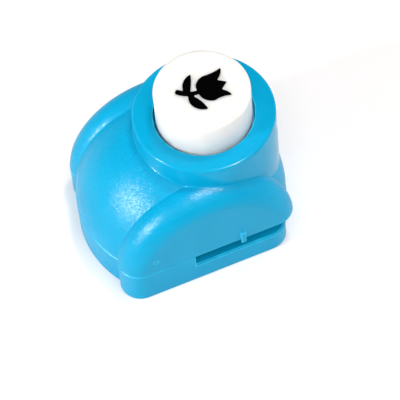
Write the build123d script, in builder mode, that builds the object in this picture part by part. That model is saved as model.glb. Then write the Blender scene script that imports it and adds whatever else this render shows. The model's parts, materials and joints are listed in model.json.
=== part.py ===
"""Mini craft punch with a tulip die: a palm-pressed button in a drum-shaped two-part plastic body.

Millimetres, +Z up.  The origin is on the punch axis at the underside, the paper mouth faces -Y and the body is
symmetric about x = 0.  Every piece is modelled in its assembled place with the button released.
"""
import os

from build123d import *

os.makedirs("parts", exist_ok=True)

# ---------------------------------------------------------------- driving dimensions
WALL = 1.8  # plastic wall
SLIP = 0.05  # radial or side clearance of a running or drop-in fit

# body: a drum lying along X, cut flat underneath
HALF_WIDTH = 17.5
DRUM_Y = 6.5  # the drum's own axis, behind the punch axis
DRUM_Z = 6.5
LOBE_RADIUS = 19.2  # the two side lobes
LOBE_OUTER = 4.3  # rounding of a lobe toward its flat side face
LOBE_INNER = 2.4  # rounding of a lobe toward the crease
CROWN_RADIUS = 21.7  # the swollen middle of the drum
CROWN_ARC = 23.0  # its curvature across the width
CREASE_ROUND = 0.7
SEAM_EDGE = 0.2  # broken edges that show the joint between casing and base
PARTING_Z = 8.3  # joint between casing and base

# paper slot
SLOT_FLOOR = 5.2
SLOT_END_Y = 10.6
PAPER_GAP = 1.0
FRONT_SETBACK = 1.9  # the base's front corners sit behind the casing's

# collar and button
COLLAR_TOP = 31.0
COLLAR_RADIUS = 14.5
COLLAR_DRAFT = 0.15
BUTTON_RADIUS = 9.8
BUTTON_TOP = 39.3
MOUTH_RADIUS = 10.35
STROKE = 4.5

# cutting set
PLATE_HALF_WIDTH = 9.0
PLATE_FRONT = -11.0
PLATE_BACK = 19.5
DIE_THICK = 1.5
GUIDE_THICK = 3.0
PUNCH_LIFT = 0.6  # the punch face rests this far up inside the guide plate
TULIP_ROUND = 0.2  # smallest corner of the cut shape

# fasteners
CASE_SCREWS = [(-13.0, 14.0), (13.0, 14.0), (-7.0, 23.2), (7.0, 23.2)]
CASE_SCREW_RADIUS = 1.25
RIVETS = [(-6.5, 16.0), (6.5, 16.0)]
RIVET_RADIUS = 1.0
PUNCH_SCREWS = [(-6.1, 0.0), (6.1, 0.0)]
PUNCH_SCREW_RADIUS = 0.9
SNUG = 0.02  # clearance of a screw or rivet in its hole

# return spring
SPRING_RADIUS = 7.2
WIRE_RADIUS = 0.5
SPRING_TURNS = 6
WASHER_THICK = 0.5

# levels and radii that follow from the above
DIE_BOTTOM = SLOT_FLOOR - DIE_THICK
GUIDE_BOTTOM = SLOT_FLOOR + PAPER_GAP
GUIDE_TOP = GUIDE_BOTTOM + GUIDE_THICK
PUNCH_FACE = GUIDE_BOTTOM + PUNCH_LIFT
LOBE_X = HALF_WIDTH - LOBE_OUTER
BORE_RADIUS = BUTTON_RADIUS + SLIP
SPRING_BOTTOM = GUIDE_TOP + WASHER_THICK
SKIRT_Z = SPRING_BOTTOM + STROKE + SLIP  # the plunger's skirt lands on the washer at full stroke
STOP_Z = 22.0  # the collar's guide tube ends here and holds the plunger's flange back
CHAMBER_RADIUS = 12.7


# ---------------------------------------------------------------- shared outlines
def lobe_patch(side, inset, setback):
    """Plan patch of one side lobe: a strip along Y with rounded ends, rounder on the outside."""
    with BuildSketch(mode=Mode.PRIVATE) as patch:
        for round_, toward in ((LOBE_OUTER, side), (LOBE_INNER, -side)):
            reach = LOBE_RADIUS - round_
            width = round_ - inset
            with Locations((side * LOBE_X, DRUM_Y + reach), (side * LOBE_X, DRUM_Y - reach + setback)):
                Circle(width)
            with Locations((side * LOBE_X + toward * width / 2, DRUM_Y + setback / 2)):
                Rectangle(width, 2 * reach - setback)
    return patch.sketch


def crown_patch(inset):
    """Plan patch of the swollen middle, bounded by two shallow arcs."""
    radius = CROWN_RADIUS - inset
    bend = CROWN_ARC - inset
    edge = radius - bend + (bend**2 - LOBE_X**2) ** 0.5
    with BuildSketch(mode=Mode.PRIVATE) as patch:
        with BuildLine():
            ThreePointArc((-LOBE_X, DRUM_Y + edge), (0, DRUM_Y + radius), (LOBE_X, DRUM_Y + edge))
            Line((LOBE_X, DRUM_Y + edge), (LOBE_X, DRUM_Y - edge))
            ThreePointArc((LOBE_X, DRUM_Y - edge), (0, DRUM_Y - radius), (-LOBE_X, DRUM_Y - edge))
            Line((-LOBE_X, DRUM_Y - edge), (-LOBE_X, DRUM_Y + edge))
        make_face()
    return patch.sketch


def body_outline(inset=0.0, setback=0.0):
    """Scalloped plan of the body at the drum's axis: two lobes, and the crown between two creases."""
    with BuildSketch(mode=Mode.PRIVATE) as outline:
        add(crown_patch(inset))
        add(lobe_patch(-1, inset, setback))
        add(lobe_patch(1, inset, setback))
        corners = [v for v in outline.vertices() if LOBE_X - LOBE_INNER < abs(v.X) < LOBE_X]
        fillet([v for v in corners if abs(v.Y - DRUM_Y) > HALF_WIDTH], CREASE_ROUND)
    return outline.sketch


def tulip_outline(grow=0.0):
    """The cut shape: three-petalled cup pointing to -Y, bent stem and two leaves."""
    with BuildSketch(mode=Mode.PRIVATE) as outline:
        with BuildLine():  # cup and petals
            ThreePointArc((-0.15, 1.4), (-2.45, 0.75), (-3.35, -0.9))
            ThreePointArc((-3.35, -0.9), (-3.15, -2.6), (-3.65, -4.5))
            ThreePointArc((-3.65, -4.5), (-2.5, -4.0), (-1.5, -3.1))
            ThreePointArc((-1.5, -3.1), (-0.85, -3.85), (-0.2, -4.75))
            ThreePointArc((-0.2, -4.75), (0.45, -3.85), (1.0, -3.1))
            ThreePointArc((1.0, -3.1), (2.15, -4.3), (3.5, -4.95))
            ThreePointArc((3.5, -4.95), (3.05, -3.0), (3.05, -1.0))
            ThreePointArc((3.05, -1.0), (2.1, 0.85), (-0.15, 1.4))
        make_face()
        with BuildLine():  # stem
            ThreePointArc((-0.6, 1.1), (-0.25, 3.4), (1.05, 5.45))
            ThreePointArc((1.05, 5.45), (1.95, 5.5), (2.05, 4.75))
            ThreePointArc((2.05, 4.75), (0.8, 3.2), (0.3, 1.1))
            Line((0.3, 1.1), (-0.6, 1.1))
        make_face()
        with BuildLine():  # leaf on the left
            ThreePointArc((0.2, 3.3), (-2.4, 3.85), (-4.6, 1.15))
            ThreePointArc((-4.6, 1.15), (-2.5, 1.65), (0.2, 3.3))
        make_face()
        with BuildLine():  # leaf on the right
            ThreePointArc((0.3, 3.9), (2.95, 3.5), (4.5, 1.1))
            ThreePointArc((4.5, 1.1), (2.4, 1.9), (0.3, 3.0))
            Line((0.3, 3.0), (0.3, 3.9))
        make_face()
        fillet(outline.vertices(), TULIP_ROUND)
        if grow:
            offset(amount=grow)
    with BuildSketch(mode=Mode.PRIVATE) as plain:  # redrawn so that every edge is a line or an arc
        with BuildLine():
            for edge in outline.edges():
                if edge.geom_type == GeomType.LINE:
                    Line(edge @ 0, edge @ 1)
                else:
                    ThreePointArc(edge @ 0, edge @ 0.5, edge @ 1)
        make_face()
    return plain.sketch


def cross_recess(points, z, width, length, depth):
    """Cross-shaped driver recess cut into screw heads that face down at height z."""
    with Locations([(x, y, z) for x, y in points]):
        Box(length, width, depth, align=(Align.CENTER, Align.CENTER, Align.MIN), mode=Mode.SUBTRACT)
        Box(width, length, depth, align=(Align.CENTER, Align.CENTER, Align.MIN), mode=Mode.SUBTRACT)


def save(piece, name):
    piece.part.label = name
    export_step(piece.part, f"parts/{name}.step")


ON_AXIS = (Align.CENTER, Align.CENTER, Align.MIN)
DRUM_AXIS = Axis((0, DRUM_Y, DRUM_Z), (1, 0, 0))


def half_drum(inset):
    """Upper half of the drum, swept round its axis from the back over the top to the front."""
    with BuildPart(mode=Mode.PRIVATE) as drum:
        with BuildSketch(Plane.XY.offset(DRUM_Z)):
            add(body_outline(inset))
            split(bisect_by=Plane.XZ.offset(-DRUM_Y), keep=Keep.BOTTOM)
        revolve(axis=DRUM_AXIS, revolution_arc=180)
    return drum.part


# ---------------------------------------------------------------- top casing
CASING_BOSS_RADIUS = 2.4
CASING_BOSS_HEIGHT = 5.2
PILOT_DEPTH = 4.3
WEB = 1.2
WEB_SHIFT = 1.15  # the web's middle lies this many times further out than its boss
RING_DISH = 0.5  # the collar's top falls this much toward the hole
RING_THICK = 2.2
EDGE_ROUND = 0.45
FOOT_ROUND = 0.4  # hollow corner where the collar meets the drum
TUBE_RADIUS = 11.5  # outside of the button's guide tube
MOUTH_DEPTH = 2.5
KEY_WIDTH = 2.4
KEY_REACH = 13.4
TAB_WIDTH = 1.0
TAB_TOP = 10.8
TAB_BOTTOM = 7.8
TAB_PROUD = 0.5
MOULD_MARK = (19.0, 12.0)  # a shallow ring left on the side face by the mould
MOULD_MARK_RADIUS = 0.6
MOULD_MARK_LINE = 0.2
MOULD_MARK_DEPTH = 0.12

with BuildPart() as top_casing:
    add(half_drum(0))
    add(half_drum(WALL), mode=Mode.SUBTRACT)
    with BuildSketch(Plane.XY.offset(DRUM_Z)):  # opening under the collar, its edge inside the collar's wall
        Circle((CHAMBER_RADIUS + COLLAR_RADIUS) / 2)
    extrude(amount=COLLAR_TOP - DRUM_Z, mode=Mode.SUBTRACT)
    with BuildSketch(Plane.XZ) as collar:  # collar wall, top ring and guide tube
        with BuildLine():
            Polyline(
                (COLLAR_RADIUS + COLLAR_DRAFT, GUIDE_TOP),
                (COLLAR_RADIUS, COLLAR_TOP),
                (MOUTH_RADIUS, COLLAR_TOP - RING_DISH),
                (MOUTH_RADIUS, COLLAR_TOP - MOUTH_DEPTH),
                (BORE_RADIUS, COLLAR_TOP - MOUTH_DEPTH),
                (BORE_RADIUS, STOP_Z),
                (TUBE_RADIUS, STOP_Z),
                (TUBE_RADIUS, COLLAR_TOP - RING_THICK),
                (CHAMBER_RADIUS, COLLAR_TOP - RING_THICK),
                (CHAMBER_RADIUS, GUIDE_TOP),
                close=True,
            )
        make_face()
        fillet(collar.vertices().sort_by(Axis.Y)[-1], EDGE_ROUND)  # the sketch's own Y is up
    revolve(axis=Axis.Z)
    collar_side = top_casing.faces().filter_by(GeomType.CONE).sort_by(Axis.Z)[-2]
    fillet(collar_side.edges().filter_by(GeomType.BSPLINE), FOOT_ROUND)
    split(bisect_by=Plane.XY.offset(PARTING_Z), keep=Keep.TOP)
    seam = top_casing.faces().filter_by(Axis.Z).group_by(Axis.Z)[0].sort_by(SortBy.AREA)[-1]
    chamfer(seam.outer_wire().edges(), SEAM_EDGE)
    with Locations([(x, y, PARTING_Z) for x, y in CASE_SCREWS]):  # screw bosses
        Cylinder(CASING_BOSS_RADIUS, CASING_BOSS_HEIGHT, align=ON_AXIS)
    with Locations([(x * WEB_SHIFT, y, PARTING_Z) for x, y in CASE_SCREWS[:2]]):  # web from boss to side wall
        Box(2 * CASING_BOSS_RADIUS, WEB, CASING_BOSS_HEIGHT, align=ON_AXIS)
    with Locations([(x, y, PARTING_Z) for x, y in CASE_SCREWS]):
        Cylinder(CASE_SCREW_RADIUS + SNUG, PILOT_DEPTH, align=ON_AXIS, mode=Mode.SUBTRACT)
    with Locations((0, 0, GUIDE_TOP)):  # keyways for the plunger
        Box(2 * (KEY_REACH + SLIP), KEY_WIDTH + 2 * SLIP, STOP_Z - GUIDE_TOP, align=ON_AXIS, mode=Mode.SUBTRACT)
    with Locations([(side * HALF_WIDTH, 0, TAB_BOTTOM) for side in (-1, 1)]):  # index tabs over the slot
        Box(2 * TAB_PROUD, TAB_WIDTH, TAB_TOP - TAB_BOTTOM, align=ON_AXIS)
    with BuildSketch(Plane.YZ.offset(-HALF_WIDTH)):
        with Locations(MOULD_MARK):
            Circle(MOULD_MARK_RADIUS)
            Circle(MOULD_MARK_RADIUS - MOULD_MARK_LINE, mode=Mode.SUBTRACT)
    extrude(amount=MOULD_MARK_DEPTH, mode=Mode.SUBTRACT)
save(top_casing, "top_casing")

# ---------------------------------------------------------------- base
BASE_EDGE = 0.4  # rounding of the underside's rim
LIP_EDGE = 0.35  # broken edge along the slot's sill
DECK_THICK = 1.6
FRAME_WALL = 1.8
LEDGE_THICK = 1.5
LEDGE_WIDTH = 2.4
BASE_BOSS_RADIUS = 3.2
SCREW_HEAD_RADIUS = 2.3
SCREW_SEAT_Z = 4.4
HEAD_CLEARANCE = 0.3
SHANK_CLEARANCE = 0.1
RIB_THICK = 1.0
RIB_DEPTH = 2.4
RIB_Y = (-2.5, 5.0)
CHIP_EXIT_HALF_LENGTH = 8.0
PLATE_MID_Y = (PLATE_FRONT + PLATE_BACK) / 2
PLATE_LENGTH = PLATE_BACK - PLATE_FRONT

with BuildPart() as base_shell:
    with BuildSketch():
        add(body_outline(0, FRONT_SETBACK))
    extrude(amount=PARTING_Z)
    fillet(base_shell.edges().group_by(Axis.Z)[0], BASE_EDGE)
    with Locations((0, SLOT_END_Y - HALF_WIDTH * 2, SLOT_FLOOR)):  # the paper slot, open in front and at both sides
        Box(HALF_WIDTH * 4, HALF_WIDTH * 4, PARTING_Z, align=ON_AXIS, mode=Mode.SUBTRACT)
    for level, edge in ((SLOT_FLOOR, LIP_EDGE), (PARTING_Z, SEAM_EDGE)):
        tops = [f for f in base_shell.faces().filter_by(Axis.Z) if abs(f.center().Z - level) < 0.01]
        outer = [e for f in tops for e in f.edges() if abs(e.center().Y - SLOT_END_Y) > 0.01]
        chamfer(outer, edge)
    with BuildSketch():  # hollow below the deck
        add(body_outline(WALL, FRONT_SETBACK))
    extrude(amount=SLOT_FLOOR - DECK_THICK, mode=Mode.SUBTRACT)
    with BuildSketch(Plane.XY.offset(SLOT_FLOOR)):  # hollow above the deck, behind the slot
        add(body_outline(WALL, FRONT_SETBACK))
    extrude(amount=PARTING_Z - SLOT_FLOOR, mode=Mode.SUBTRACT)
    with Locations((0, PLATE_MID_Y, 0)):  # walled frame that carries the die plate
        Box(2 * (PLATE_HALF_WIDTH + FRAME_WALL), PLATE_LENGTH + 2 * FRAME_WALL, SLOT_FLOOR, align=ON_AXIS)
    with Locations([(0, y, SLOT_FLOOR - DECK_THICK) for y in RIB_Y]):  # cross ribs under the deck
        Box(2 * HALF_WIDTH - WALL, RIB_THICK, RIB_DEPTH, align=(Align.CENTER, Align.CENTER, Align.MAX))
    with Locations([(x, y, 0) for x, y in CASE_SCREWS]):
        Cylinder(BASE_BOSS_RADIUS, PARTING_Z, align=ON_AXIS)
    with Locations((0, PLATE_MID_Y, DIE_BOTTOM)):  # die pocket
        Box(2 * (PLATE_HALF_WIDTH + SLIP), PLATE_LENGTH + 2 * SLIP, PARTING_Z, align=ON_AXIS, mode=Mode.SUBTRACT)
    with Locations((0, PLATE_MID_Y, 0)):
        Box(2 * PLATE_HALF_WIDTH, PLATE_LENGTH, DIE_BOTTOM - LEDGE_THICK, align=ON_AXIS, mode=Mode.SUBTRACT)
    with BuildSketch():  # chip exit through the ledge
        Rectangle(2 * (PLATE_HALF_WIDTH - LEDGE_WIDTH), 2 * CHIP_EXIT_HALF_LENGTH)
    extrude(amount=DIE_BOTTOM, mode=Mode.SUBTRACT)
    with Locations([(x, y, 0) for x, y in CASE_SCREWS]):
        Cylinder(SCREW_HEAD_RADIUS + HEAD_CLEARANCE, SCREW_SEAT_Z, align=ON_AXIS, mode=Mode.SUBTRACT)
        Cylinder(CASE_SCREW_RADIUS + SHANK_CLEARANCE, PARTING_Z, align=ON_AXIS, mode=Mode.SUBTRACT)
save(base_shell, "base_shell")

# ---------------------------------------------------------------- die plate, guide plate and spacers
RIVET_CONE_RADIUS = 1.8
RIVET_CONE_HEIGHT = 0.8
RIVET_HEAD_RADIUS = 1.9
RIVET_HEAD_HEIGHT = 0.8
RIVET_HEAD_ROUND = 0.5
LEAD_IN = 0.8  # the guide plate's front edge is bevelled so that paper slides in
SPACER_WIDTH = 6.0
SPACER_FRONT = SLOT_END_Y + 0.8

with BuildPart() as die_plate:
    with Locations((0, PLATE_MID_Y, DIE_BOTTOM)):
        Box(2 * PLATE_HALF_WIDTH, PLATE_LENGTH, DIE_THICK, align=ON_AXIS)
    with BuildSketch(Plane.XY.offset(DIE_BOTTOM)):
        add(tulip_outline(SLIP))
    extrude(amount=DIE_THICK, mode=Mode.SUBTRACT)
    with Locations([(x, y, DIE_BOTTOM) for x, y in RIVETS]):
        Cylinder(RIVET_RADIUS + SNUG, DIE_THICK, align=ON_AXIS, mode=Mode.SUBTRACT)
        Cone(RIVET_CONE_RADIUS, RIVET_RADIUS, RIVET_CONE_HEIGHT, align=ON_AXIS, mode=Mode.SUBTRACT)
save(die_plate, "die_plate")

with BuildPart() as guide_plate:
    with Locations((0, PLATE_MID_Y, GUIDE_BOTTOM)):
        Box(2 * PLATE_HALF_WIDTH, PLATE_LENGTH, GUIDE_THICK, align=ON_AXIS)
    front = guide_plate.faces().sort_by(Axis.Y)[0]
    chamfer(front.edges().filter_by(Axis.X).sort_by(Axis.Z)[0], LEAD_IN)
    with BuildSketch(Plane.XY.offset(GUIDE_BOTTOM)):
        add(tulip_outline(SLIP))
    extrude(amount=GUIDE_THICK, mode=Mode.SUBTRACT)
    with Locations([(x, y, GUIDE_BOTTOM) for x, y in RIVETS]):
        Cylinder(RIVET_RADIUS + SNUG, GUIDE_THICK, align=ON_AXIS, mode=Mode.SUBTRACT)
save(guide_plate, "guide_plate")

for side, name in ((-1, "spacer_left"), (1, "spacer_right")):
    with BuildPart() as spacer:
        with Locations((side * (PLATE_HALF_WIDTH - SPACER_WIDTH / 2), (SPACER_FRONT + PLATE_BACK) / 2, SLOT_FLOOR)):
            Box(SPACER_WIDTH, PLATE_BACK - SPACER_FRONT, PAPER_GAP, align=ON_AXIS)
        with Locations([(x, y, SLOT_FLOOR) for x, y in RIVETS]):
            Cylinder(RIVET_RADIUS + SNUG, PAPER_GAP, align=ON_AXIS, mode=Mode.SUBTRACT)
    save(spacer, name)

with BuildPart() as die_set_rivets:
    with Locations([(x, y, DIE_BOTTOM) for x, y in RIVETS]):
        Cylinder(RIVET_RADIUS, GUIDE_TOP - DIE_BOTTOM, align=ON_AXIS)
        Cone(RIVET_CONE_RADIUS - SLIP, RIVET_RADIUS, RIVET_CONE_HEIGHT - SLIP, align=ON_AXIS)
    with Locations([(x, y, GUIDE_TOP) for x, y in RIVETS]):
        Cylinder(RIVET_HEAD_RADIUS, RIVET_HEAD_HEIGHT, align=ON_AXIS)
    fillet(die_set_rivets.edges().filter_by(GeomType.CIRCLE).group_by(Axis.Z)[-1], RIVET_HEAD_ROUND)
save(die_set_rivets, "die_set_rivets")

# ---------------------------------------------------------------- plunger and button
SHOULDER_Z = 24.0
SPIGOT_TOP = 30.0
WEB_TOP = 26.0  # floor inside the hollow spigot
SPRING_WELL = 8.0
FLANGE_RADIUS = 12.3
FLANGE_TOP = STOP_Z - SLIP
FLANGE_BOTTOM = 20.35
KEY_LENGTH = 2.0
CORE_BOSS_RADIUS = 1.7
CORE_PILOT_DEPTH = 4.6
CAP_WALL = 1.4
SPIGOT_RADIUS = BUTTON_RADIUS - CAP_WALL - SLIP
CAP_ROOF = 1.8
CAP_ROUND = 1.3
CAP_RIB = 1.2
MARK_DEPTH = 0.3
MARK_CENTRE = (-0.6, -0.4)  # the printed mark sits a little off the button's middle
HEAD_THICK = 2.0
PUNCH_HEAD_Z = SHOULDER_Z - HEAD_THICK

with BuildPart() as plunger_core:
    with BuildSketch(Plane.XZ):
        with BuildLine():
            Polyline(
                (SPRING_WELL, SKIRT_Z),
                (BUTTON_RADIUS, SKIRT_Z),
                (BUTTON_RADIUS, FLANGE_BOTTOM),
                (FLANGE_RADIUS, FLANGE_BOTTOM),
                (FLANGE_RADIUS, FLANGE_TOP),
                (BUTTON_RADIUS, FLANGE_TOP),
                (BUTTON_RADIUS, SHOULDER_Z),
                (SPIGOT_RADIUS, SHOULDER_Z),
                (SPIGOT_RADIUS, SPIGOT_TOP),
                (SPIGOT_RADIUS - CAP_WALL, SPIGOT_TOP),
                (SPIGOT_RADIUS - CAP_WALL, WEB_TOP),
                (0, WEB_TOP),
                (0, SHOULDER_Z),
                (SPRING_WELL, SHOULDER_Z),
                close=True,
            )
        make_face()
    revolve(axis=Axis.Z)
    with Locations([(side * (KEY_REACH - KEY_LENGTH / 2), 0, FLANGE_BOTTOM) for side in (-1, 1)]):
        Box(KEY_LENGTH, KEY_WIDTH, FLANGE_TOP - FLANGE_BOTTOM, align=ON_AXIS)  # keys that stop it turning
    with Locations([(x, y, SHOULDER_Z) for x, y in PUNCH_SCREWS]):
        Cylinder(CORE_BOSS_RADIUS, SPIGOT_TOP - SHOULDER_Z, align=ON_AXIS)
    with Locations([(x, y, SHOULDER_Z) for x, y in PUNCH_SCREWS]):
        Cylinder(PUNCH_SCREW_RADIUS + SNUG, CORE_PILOT_DEPTH, align=ON_AXIS, mode=Mode.SUBTRACT)
save(plunger_core, "plunger_core")

with BuildPart() as button_cap:
    with Locations((0, 0, SHOULDER_Z)):
        Cylinder(BUTTON_RADIUS, BUTTON_TOP - SHOULDER_Z, align=ON_AXIS)
    fillet(button_cap.edges().group_by(Axis.Z)[-1], CAP_ROUND)
    with Locations((0, 0, SHOULDER_Z)):
        Cylinder(BUTTON_RADIUS - CAP_WALL, BUTTON_TOP - CAP_ROOF - SHOULDER_Z, align=ON_AXIS, mode=Mode.SUBTRACT)
    with BuildSketch(Plane.XY.offset(SPIGOT_TOP + SLIP)):  # stiffening cross inside the cap
        Rectangle(2 * BUTTON_RADIUS - CAP_WALL, CAP_RIB)
        Rectangle(CAP_RIB, 2 * BUTTON_RADIUS - CAP_WALL)
    extrude(amount=BUTTON_TOP - CAP_ROOF - SPIGOT_TOP - SLIP)
    with BuildSketch(Plane.XY.offset(BUTTON_TOP)):
        with Locations(MARK_CENTRE):
            add(tulip_outline())
    extrude(amount=-MARK_DEPTH, mode=Mode.SUBTRACT)
save(button_cap, "button_cap")

with BuildPart() as tulip_mark:
    with BuildSketch(Plane.XY.offset(BUTTON_TOP - MARK_DEPTH)):
        with Locations(MARK_CENTRE):
            add(tulip_outline())
    extrude(amount=MARK_DEPTH)
save(tulip_mark, "tulip_mark")

# ---------------------------------------------------------------- punch, its screws and the spring
PUNCH_CONE_RADIUS = 1.75
PUNCH_CONE_HEIGHT = 0.9
PUNCH_SCREW_LENGTH = 6.2
WASHER_REACH = 1.3  # the washer is this much wider than the coil's middle line
WASHER_HOLE = 0.8  # and its hole this much narrower

with BuildPart() as punch_blade:
    with BuildSketch(Plane.XY.offset(PUNCH_FACE)):
        add(tulip_outline())
    extrude(amount=PUNCH_HEAD_Z - PUNCH_FACE)
    with Locations((0, 0, PUNCH_HEAD_Z)):
        Cylinder(SPRING_WELL - 2 * SLIP, HEAD_THICK, align=ON_AXIS)
    with Locations([(x, y, PUNCH_HEAD_Z) for x, y in PUNCH_SCREWS]):
        Cylinder(PUNCH_SCREW_RADIUS + SLIP, HEAD_THICK, align=ON_AXIS, mode=Mode.SUBTRACT)
        Cone(PUNCH_CONE_RADIUS, PUNCH_SCREW_RADIUS, PUNCH_CONE_HEIGHT, align=ON_AXIS, mode=Mode.SUBTRACT)
save(punch_blade, "punch_blade")

with BuildPart() as punch_screws:
    with Locations([(x, y, PUNCH_HEAD_Z) for x, y in PUNCH_SCREWS]):
        Cylinder(PUNCH_SCREW_RADIUS, PUNCH_SCREW_LENGTH, align=ON_AXIS)
        Cone(PUNCH_CONE_RADIUS - SLIP, PUNCH_SCREW_RADIUS, PUNCH_CONE_HEIGHT - SLIP, align=ON_AXIS)
    cross_recess(PUNCH_SCREWS, z=PUNCH_HEAD_Z, width=0.4, length=1.6, depth=0.6)
save(punch_screws, "punch_screws")

with BuildPart() as spring_washer:
    with BuildSketch(Plane.XY.offset(GUIDE_TOP)):
        Circle(SPRING_RADIUS + WASHER_REACH)
        Circle(SPRING_RADIUS - WASHER_HOLE, mode=Mode.SUBTRACT)
    extrude(amount=WASHER_THICK)
save(spring_washer, "spring_washer")

with BuildPart() as return_spring:
    with BuildLine():
        rise = PUNCH_HEAD_Z - SPRING_BOTTOM - 2 * WIRE_RADIUS
        coil = Helix(rise / SPRING_TURNS, rise, SPRING_RADIUS, center=(0, 0, SPRING_BOTTOM + WIRE_RADIUS))
    with BuildSketch(Plane(origin=coil @ 0, z_dir=coil % 0)):
        Circle(WIRE_RADIUS)
    sweep(is_frenet=True)
save(return_spring, "return_spring")

# ---------------------------------------------------------------- case screws
SCREW_HEAD_HEIGHT = 1.6
SCREW_HEAD_ROUND = 0.7
CASE_SCREW_TOP = PARTING_Z + PILOT_DEPTH - 0.6

with BuildPart() as case_screws:
    with Locations([(x, y, SCREW_SEAT_Z - SCREW_HEAD_HEIGHT) for x, y in CASE_SCREWS]):
        Cylinder(SCREW_HEAD_RADIUS, SCREW_HEAD_HEIGHT, align=ON_AXIS)
    fillet(case_screws.edges().filter_by(GeomType.CIRCLE).group_by(Axis.Z)[0], SCREW_HEAD_ROUND)
    with Locations([(x, y, SCREW_SEAT_Z) for x, y in CASE_SCREWS]):
        Cylinder(CASE_SCREW_RADIUS, CASE_SCREW_TOP - SCREW_SEAT_Z, align=ON_AXIS)
    cross_recess(CASE_SCREWS, z=SCREW_SEAT_Z - SCREW_HEAD_HEIGHT, width=0.6, length=2.4, depth=0.9)
save(case_screws, "case_screws")
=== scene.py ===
"""Studio picture of the craft punch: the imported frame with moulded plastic, ink and steel materials.

Everything is in metres in the frame's own axes: +Z up, the paper slot's mouth at -Y and the punch axis at
x = y = 0.
"""
import json
import math

import bpy
from mathutils import Matrix, Vector


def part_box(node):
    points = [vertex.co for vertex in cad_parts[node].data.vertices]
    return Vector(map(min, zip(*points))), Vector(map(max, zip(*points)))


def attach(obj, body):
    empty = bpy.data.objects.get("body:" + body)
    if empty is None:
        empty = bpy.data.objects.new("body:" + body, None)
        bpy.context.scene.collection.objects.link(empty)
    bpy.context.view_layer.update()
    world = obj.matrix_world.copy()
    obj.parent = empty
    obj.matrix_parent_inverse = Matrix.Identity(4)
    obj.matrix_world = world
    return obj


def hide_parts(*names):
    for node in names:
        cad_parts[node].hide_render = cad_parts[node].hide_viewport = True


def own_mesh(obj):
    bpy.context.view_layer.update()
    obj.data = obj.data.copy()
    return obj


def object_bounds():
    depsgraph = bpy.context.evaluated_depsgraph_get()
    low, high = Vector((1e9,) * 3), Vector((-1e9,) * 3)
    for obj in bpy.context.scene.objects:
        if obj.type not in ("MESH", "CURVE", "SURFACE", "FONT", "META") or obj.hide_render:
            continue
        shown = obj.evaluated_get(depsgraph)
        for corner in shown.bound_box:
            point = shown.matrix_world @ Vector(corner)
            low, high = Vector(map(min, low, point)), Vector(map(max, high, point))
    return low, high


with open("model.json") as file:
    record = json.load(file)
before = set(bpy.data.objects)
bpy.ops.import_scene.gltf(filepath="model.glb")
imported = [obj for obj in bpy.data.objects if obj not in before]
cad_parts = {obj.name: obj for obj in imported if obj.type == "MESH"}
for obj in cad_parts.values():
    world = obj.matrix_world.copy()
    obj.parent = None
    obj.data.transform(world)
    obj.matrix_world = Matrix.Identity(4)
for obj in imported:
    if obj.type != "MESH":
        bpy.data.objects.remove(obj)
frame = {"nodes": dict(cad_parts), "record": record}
cad_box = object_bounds()

# ---------------------------------------------------------------- dimensions taken from the frame
LOW, HIGH = cad_box
CENTRE = (LOW + HIGH) / 2
SIZE = max(HIGH - LOW)
MM = 0.001

button_low, button_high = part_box("button_cap")
BUTTON_RADIUS = (button_high.x - button_low.x) / 2
COLLAR_RADIUS = 1.5 * BUTTON_RADIUS  # the smooth, ungrained part of the casing lies inside this radius

# ---------------------------------------------------------------- camera and light
VIEW_AZIMUTH = 251.6
VIEW_ELEVATION = 56.88
VIEW_ROLL = -5.65
VIEW_DISTANCE = 12.96 * SIZE
VIEW_RIGHT = 0.1064 * SIZE  # the picture's middle lies this far right of the object's
VIEW_DOWN = 0.2128 * SIZE
LENS_MM = 248.9

BACKDROP = 1.0  # brightness of the light tent where the camera sees it
TENT_GLOW = 0.24  # its brightness as diffuse light on the object
TENT_REFLECTION = 0.10  # and in the object's reflections
FLOOR_REFLECTION = 0.85  # the floor's brightness in reflections, as a share of its own
FLOOR_HALF = 25 * SIZE

# name, azimuth, elevation, distance and width in object sizes, watts, whether it shows only in reflections
LAMPS = [
    ("box_left", 185, 23, 10, 1.2, 1.30, False),
    ("box_back", 29, 73, 10, 1.2, 0.60, False),
    ("tent_top", 262, 62, 12, 8, 1.38, False),
    ("tent_front", 300, 35, 12, 6, 0.25, False),
    ("tent_mouth", 345, 20, 12, 6, 0.60, False),
    ("glint_left", 187, 22, 10, 1.2, 5.4, True),
    ("glint_top", 340, 75, 10, 1.2, 5.4, True),
]

# colours as linear RGB
CYAN = (0.001, 0.350, 0.600)
CYAN_DEEP = (0.001, 0.330, 0.572)
# pale cyan painted on edges as a highlight, partly also paler worn plastic
CYAN_EDGE_HIGHLIGHT = (0.080, 0.720, 0.980)
WHITE_WARM = (0.885, 0.835, 0.785)
WHITE_COOL = (0.845, 0.800, 0.765)
INK = (0.0008, 0.0008, 0.0009)
INK_GREY = (0.004, 0.0036, 0.0038)
BLACK_PLASTIC = (0.012, 0.012, 0.013)
STEEL = (0.46, 0.46, 0.47)
STEEL_DARK = (0.30, 0.30, 0.31)
ZINC = (0.62, 0.63, 0.65)
ZINC_DULL = (0.42, 0.43, 0.45)
PAPER = (0.955, 0.915, 0.900)


# ---------------------------------------------------------------- shader helpers
def new_material(name):
    """Empty principled material: (material, node tree, principled node, frame coordinates)."""
    made = bpy.data.materials.new(name)
    made.use_nodes = True
    tree = made.node_tree
    coordinates = tree.nodes.new("ShaderNodeTexCoord").outputs["Object"]
    return made, tree, tree.nodes["Principled BSDF"], coordinates


def add_node(tree, kind, inputs, **settings):
    """Adds a node; each input is either a value or another node's output."""
    made = tree.nodes.new(kind)
    for name, value in settings.items():
        setattr(made, name, value)
    for socket, value in inputs.items():
        if isinstance(value, bpy.types.NodeSocket):
            tree.links.new(value, made.inputs[socket])
        else:
            made.inputs[socket].default_value = value
    return made


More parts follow.
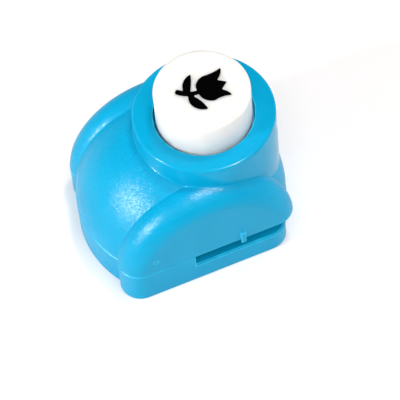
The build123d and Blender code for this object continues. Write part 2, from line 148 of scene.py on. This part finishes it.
def noise(tree, vector, grain, detail=2.0, roughness=0.5):
    """Noise between 0 and 1 whose blobs are about `grain` metres across."""
    inputs = {"Vector": vector, "Scale": 1 / grain, "Detail": detail, "Roughness": roughness}
    return add_node(tree, "ShaderNodeTexNoise", inputs).outputs["Fac"]


def remap(tree, value, low, high, to_low, to_high):
    """Value clamped to low..high and carried over to to_low..to_high."""
    inputs = {"Value": value, "From Min": low, "From Max": high, "To Min": to_low, "To Max": to_high}
    return add_node(tree, "ShaderNodeMapRange", inputs).outputs["Result"]


def blend_colour(tree, factor, first, second):
    """Mix of two colours; each is an RGB tuple or a socket."""
    made = tree.nodes.new("ShaderNodeMix")
    made.data_type = "RGBA"
    tree.links.new(factor, made.inputs["Factor"])
    for socket, colour in ((made.inputs[6], first), (made.inputs[7], second)):
        if isinstance(colour, bpy.types.NodeSocket):
            tree.links.new(colour, socket)
        else:
            socket.default_value = (*colour, 1)
    return made.outputs[2]


def combine(tree, first, second, operation="MULTIPLY"):
    """Arithmetic on two values or sockets."""
    return add_node(tree, "ShaderNodeMath", {0: first, 1: second}, operation=operation).outputs[0]


def vector_math(tree, operation, first, second=(0, 0, 0)):
    """Arithmetic on two vectors; gives a vector, or a number for DOT_PRODUCT and LENGTH."""
    made = add_node(tree, "ShaderNodeVectorMath", {0: first, 1: second}, operation=operation)
    return made.outputs["Value" if operation in ("DOT_PRODUCT", "LENGTH") else "Vector"]


def plain_normal(tree):
    """The surface's own normal, without bump."""
    return tree.nodes.new("ShaderNodeNewGeometry").outputs["Normal"]


def edge_mask(tree, radius):
    """1 on sharp edges, falling to 0 within `radius` of them."""
    rounded = add_node(tree, "ShaderNodeBevel", {"Radius": radius}, samples=6).outputs["Normal"]
    facing = vector_math(tree, "DOT_PRODUCT", rounded, plain_normal(tree))
    return remap(tree, facing, 0.995, 0.93, 0, 1)


def sideways(tree):
    """How squarely a surface faces along X, 0 to 1."""
    across = add_node(tree, "ShaderNodeSeparateXYZ", {0: plain_normal(tree)}).outputs["X"]
    return add_node(tree, "ShaderNodeMath", {0: across}, operation="ABSOLUTE").outputs[0]


def radial_mask(tree, coordinates, radius, blur):
    """1 within `radius` of the punch axis, 0 beyond it."""
    flat = vector_math(tree, "MULTIPLY", coordinates, (1, 1, 0))
    distance = vector_math(tree, "LENGTH", flat)
    return remap(tree, distance, radius, radius + blur, 1, 0)


def feed(tree, surface, **sockets):
    """Links or sets the principled node's inputs; underscores in names stand for spaces."""
    for name, value in sockets.items():
        socket = surface.inputs[name.replace("_", " ")]
        if isinstance(value, bpy.types.NodeSocket):
            tree.links.new(value, socket)
        elif isinstance(value, tuple) and len(value) == 3 and socket.type == "RGBA":
            socket.default_value = (*value, 1)
        else:
            socket.default_value = value


def bump(tree, height, distance, strength, normal=None):
    """Bump with a relief of `distance` metres."""
    inputs = {"Height": height, "Distance": distance, "Strength": strength}
    if normal is not None:
        inputs["Normal"] = normal
    return add_node(tree, "ShaderNodeBump", inputs).outputs["Normal"]


def facets(tree, vector, cell, tilt):
    """Normal leaning at random in each small cell, like a mould surface eroded by sparks."""
    cells = add_node(tree, "ShaderNodeTexVoronoi", {"Vector": vector, "Scale": 1 / cell}).outputs["Color"]
    centred = vector_math(tree, "SUBTRACT", cells, (0.5, 0.5, 0.5))
    lean = add_node(tree, "ShaderNodeVectorMath", {0: centred, "Scale": tilt}, operation="SCALE").outputs[0]
    leaning = vector_math(tree, "ADD", plain_normal(tree), lean)
    return vector_math(tree, "NORMALIZE", leaning)


# ---------------------------------------------------------------- materials
def case_plastic():
    """Cyan moulded plastic: spark-eroded grain on the drum, polished collar and side faces, edges painted
    paler as a highlight that also stands for a little wear.
    """
    made, tree, surface, at = new_material("case_plastic")
    polished = radial_mask(tree, at, COLLAR_RADIUS, 0.3 * MM)
    mottle = remap(tree, noise(tree, at, 9 * MM, detail=3), 0.35, 0.65, 0, 1)
    colour = blend_colour(tree, mottle, CYAN, CYAN_DEEP)
    patchy = remap(tree, noise(tree, at, 1.5 * MM), 0.3, 0.6, 0.5, 1.0)
    # painted highlight: edges, creases, the seam and the slot lip are lightened toward the pale cyan to
    # stand for the bright lines light draws there, with a little wear
    wear_and_edge_highlight = combine(tree, edge_mask(tree, 0.3 * MM), patchy)
    colour = blend_colour(tree, wear_and_edge_highlight, colour, CYAN_EDGE_HIGHLIGHT)
    curved = remap(tree, sideways(tree), 0.70, 0.95, 1, 0)
    tilt = combine(tree, curved, remap(tree, polished, 0, 1, 0.30, 0.01))
    grained = facets(tree, at, 0.12 * MM, tilt)
    smear = noise(tree, at, 3 * MM, detail=4)
    uneven = remap(tree, smear, 0.3, 0.7, 0.28, 0.33)
    rough = combine(tree, uneven, remap(tree, polished, 0, 1, 0, -0.12), "ADD")
    feed(tree, surface, Base_Color=colour, Roughness=rough, Normal=grained, Specular_IOR_Level=0.12)
    return made


def button_plastic():
    """Warm white semi-gloss plastic, faintly uneven, with soft handling marks."""
    made, tree, surface, at = new_material("button_plastic")
    cloud = remap(tree, noise(tree, at, 6 * MM, detail=3), 0.35, 0.65, 0, 1)
    colour = blend_colour(tree, cloud, WHITE_WARM, WHITE_COOL)
    smear = noise(tree, at, 2.5 * MM, detail=5, roughness=0.6)
    rough = remap(tree, smear, 0.3, 0.7, 0.30, 0.40)
    fine = bump(tree, noise(tree, at, 0.25 * MM, detail=2), 0.02 * MM, 0.25)
    feed(tree, surface, Base_Color=colour, Roughness=rough, Normal=fine, Specular_IOR_Level=0.4)
    feed(tree, surface, Subsurface_Weight=1.0, Subsurface_Scale=2.5 * MM, Subsurface_Radius=(1.0, 0.9, 0.8))
    return made


def mark_ink():
    """Black pad-printed ink: matt, with a little dust-grey variation."""
    made, tree, surface, at = new_material("mark_ink")
    specks = remap(tree, noise(tree, at, 0.3 * MM, detail=3), 0.55, 0.75, 0, 1)
    colour = blend_colour(tree, specks, INK, INK_GREY)
    rough = remap(tree, noise(tree, at, 1.2 * MM, detail=3), 0.3, 0.7, 0.48, 0.58)
    relief = bump(tree, noise(tree, at, 0.2 * MM), 0.005 * MM, 0.4)
    feed(tree, surface, Base_Color=colour, Roughness=rough, Normal=relief, Specular_IOR_Level=0.0005)
    return made


def core_plastic():
    """Matt black acetal of the plunger."""
    made, tree, surface, at = new_material("core_plastic")
    cloud = noise(tree, at, 3 * MM, detail=3)
    colour = blend_colour(tree, cloud, BLACK_PLASTIC, tuple(2.2 * c for c in BLACK_PLASTIC))
    rough = remap(tree, noise(tree, at, 1.5 * MM, detail=3), 0.3, 0.7, 0.38, 0.52)
    relief = bump(tree, noise(tree, at, 0.2 * MM), 0.02 * MM, 0.4)
    feed(tree, surface, Base_Color=colour, Roughness=rough, Normal=relief, IOR=1.48)
    return made


def metal(name, bright, dull, stretch, grain, rough_low, rough_high):
    """Metal whose grinding marks run along the axes where `stretch` is small."""
    made, tree, surface, at = new_material(name)
    drawn = vector_math(tree, "MULTIPLY", at, stretch)
    marks = noise(tree, drawn, grain, detail=4, roughness=0.6)
    blotch = noise(tree, at, 2.5 * MM, detail=3)
    colour = blend_colour(tree, remap(tree, blotch, 0.35, 0.65, 0, 1), bright, dull)
    worn = combine(tree, edge_mask(tree, 0.15 * MM), 0.6)
    colour = blend_colour(tree, worn, colour, tuple(min(1.0, 1.4 * c) for c in bright))
    rough = remap(tree, marks, 0.3, 0.7, rough_low, rough_high)
    relief = bump(tree, marks, 0.01 * MM, 0.5)
    feed(tree, surface, Base_Color=colour, Metallic=1.0, Roughness=rough, Normal=relief)
    return made


def floor_paper():
    """Plain pale floor with a trace of paper tooth, a little dimmer in reflections."""
    made, tree, surface, at = new_material("floor_paper")
    cloud = noise(tree, at, 30 * MM, detail=3)
    colour = blend_colour(tree, cloud, PAPER, tuple(0.985 * c for c in PAPER))
    mirrored = tree.nodes.new("ShaderNodeLightPath").outputs["Is Glossy Ray"]
    colour = blend_colour(tree, mirrored, colour, tuple(FLOOR_REFLECTION * c for c in PAPER))
    tooth = bump(tree, noise(tree, at, 0.8 * MM, detail=3), 0.03 * MM, 0.2)
    feed(tree, surface, Base_Color=colour, Roughness=0.85, Normal=tooth)
    return made


SLOT_MATERIALS = {
    "case_plastic": case_plastic(),
    "button_plastic": button_plastic(),
    "mark_ink": mark_ink(),
    "core_plastic": core_plastic(),
    "die_steel": metal("die_steel", STEEL, STEEL_DARK, (0.08, 1, 1), 0.12 * MM, 0.28, 0.42),
    "spring_steel": metal("spring_steel", STEEL, STEEL_DARK, (1, 1, 0.3), 0.15 * MM, 0.28, 0.38),
    "screw_steel": metal("screw_steel", ZINC, ZINC_DULL, (1, 1, 1), 0.25 * MM, 0.16, 0.26),
}


def dress_nodes():
    """Gives every CAD node the procedural material of its slot."""
    slots = {part["node"]: part["material_slot"] for part in frame["record"]["subparts"]}
    for name, node in frame["nodes"].items():
        node.data.materials.clear()
        node.data.materials.append(SLOT_MATERIALS[slots[name]])


def build_coil():
    """The return spring again as a piece of its own, attached to the housing."""
    mesh = frame["nodes"]["return_spring"].data.copy()
    mesh.materials.clear()
    mesh.materials.append(SLOT_MATERIALS["spring_steel"])
    coil = bpy.data.objects.new("coil_spring", mesh)
    bpy.context.scene.collection.objects.link(coil)
    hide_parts("return_spring")
    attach(coil, "housing")
    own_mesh(coil)


# ---------------------------------------------------------------- stage, light and camera
def direction(azimuth, elevation):
    """Unit vector from the object toward a viewer or lamp; azimuth 0 is at -Y and 90 at +X."""
    a, e = math.radians(azimuth), math.radians(elevation)
    return Vector((math.sin(a) * math.cos(e), -math.cos(a) * math.cos(e), math.sin(e)))


def build_floor():
    corners = [(-1, -1), (1, -1), (1, 1), (-1, 1)]
    mesh = bpy.data.meshes.new("floor")
    mesh.from_pydata([(FLOOR_HALF * x, FLOOR_HALF * y, LOW.z) for x, y in corners], [], [(0, 1, 2, 3)])
    mesh.materials.append(floor_paper())
    floor = bpy.data.objects.new("floor", mesh)
    bpy.context.scene.collection.objects.link(floor)


def soft_light(name, azimuth, elevation, distance, width, watts, glint):
    """Square softbox aimed at the object. It lights surfaces or, as a glint, shows only in their shine."""
    lamp = bpy.data.lights.new(name, "AREA")
    lamp.size = width * SIZE
    lamp.energy = watts
    holder = bpy.data.objects.new(name, lamp)
    toward = direction(azimuth, elevation)
    holder.location = CENTRE + toward * distance * SIZE
    holder.rotation_euler = toward.to_track_quat("Z", "Y").to_euler()
    holder.visible_glossy = glint
    holder.visible_diffuse = not glint
    bpy.context.scene.collection.objects.link(holder)


def build_world():
    world = bpy.data.worlds.new("studio")
    world.use_nodes = True
    tree = world.node_tree
    ray = tree.nodes.new("ShaderNodeLightPath").outputs
    seen = remap(tree, ray["Is Camera Ray"], 0, 1, TENT_GLOW, BACKDROP)
    drop = remap(tree, ray["Is Glossy Ray"], 0, 1, 0, TENT_REFLECTION - TENT_GLOW)
    tree.links.new(combine(tree, seen, drop, "ADD"), tree.nodes["Background"].inputs["Strength"])
    tree.nodes["Background"].inputs["Color"].default_value = (1.0, 1.0, 1.0, 1)
    bpy.context.scene.world = world
    bpy.context.scene.view_settings.view_transform = "Standard"


def build_camera():
    back = direction(VIEW_AZIMUTH, VIEW_ELEVATION)
    level_right = Vector((0, 0, 1)).cross(back).normalized()
    level_up = back.cross(level_right)
    roll = math.radians(VIEW_ROLL)
    right = level_right * math.cos(roll) + level_up * math.sin(roll)
    up = level_up * math.cos(roll) - level_right * math.sin(roll)
    lens = bpy.data.cameras.new("camera")
    lens.lens = LENS_MM
    lens.clip_start = 0.1 * SIZE
    lens.clip_end = 200 * SIZE
    camera = bpy.data.objects.new("camera", lens)
    place = CENTRE + right * VIEW_RIGHT - up * VIEW_DOWN + back * VIEW_DISTANCE
    camera.matrix_world = Matrix.Translation(place) @ Matrix((right, up, back)).transposed().to_4x4()
    bpy.context.scene.collection.objects.link(camera)
    bpy.context.scene.camera = camera


dress_nodes()
build_coil()
build_floor()
build_world()
for lamp_settings in LAMPS:
    soft_light(*lamp_settings)
build_camera()
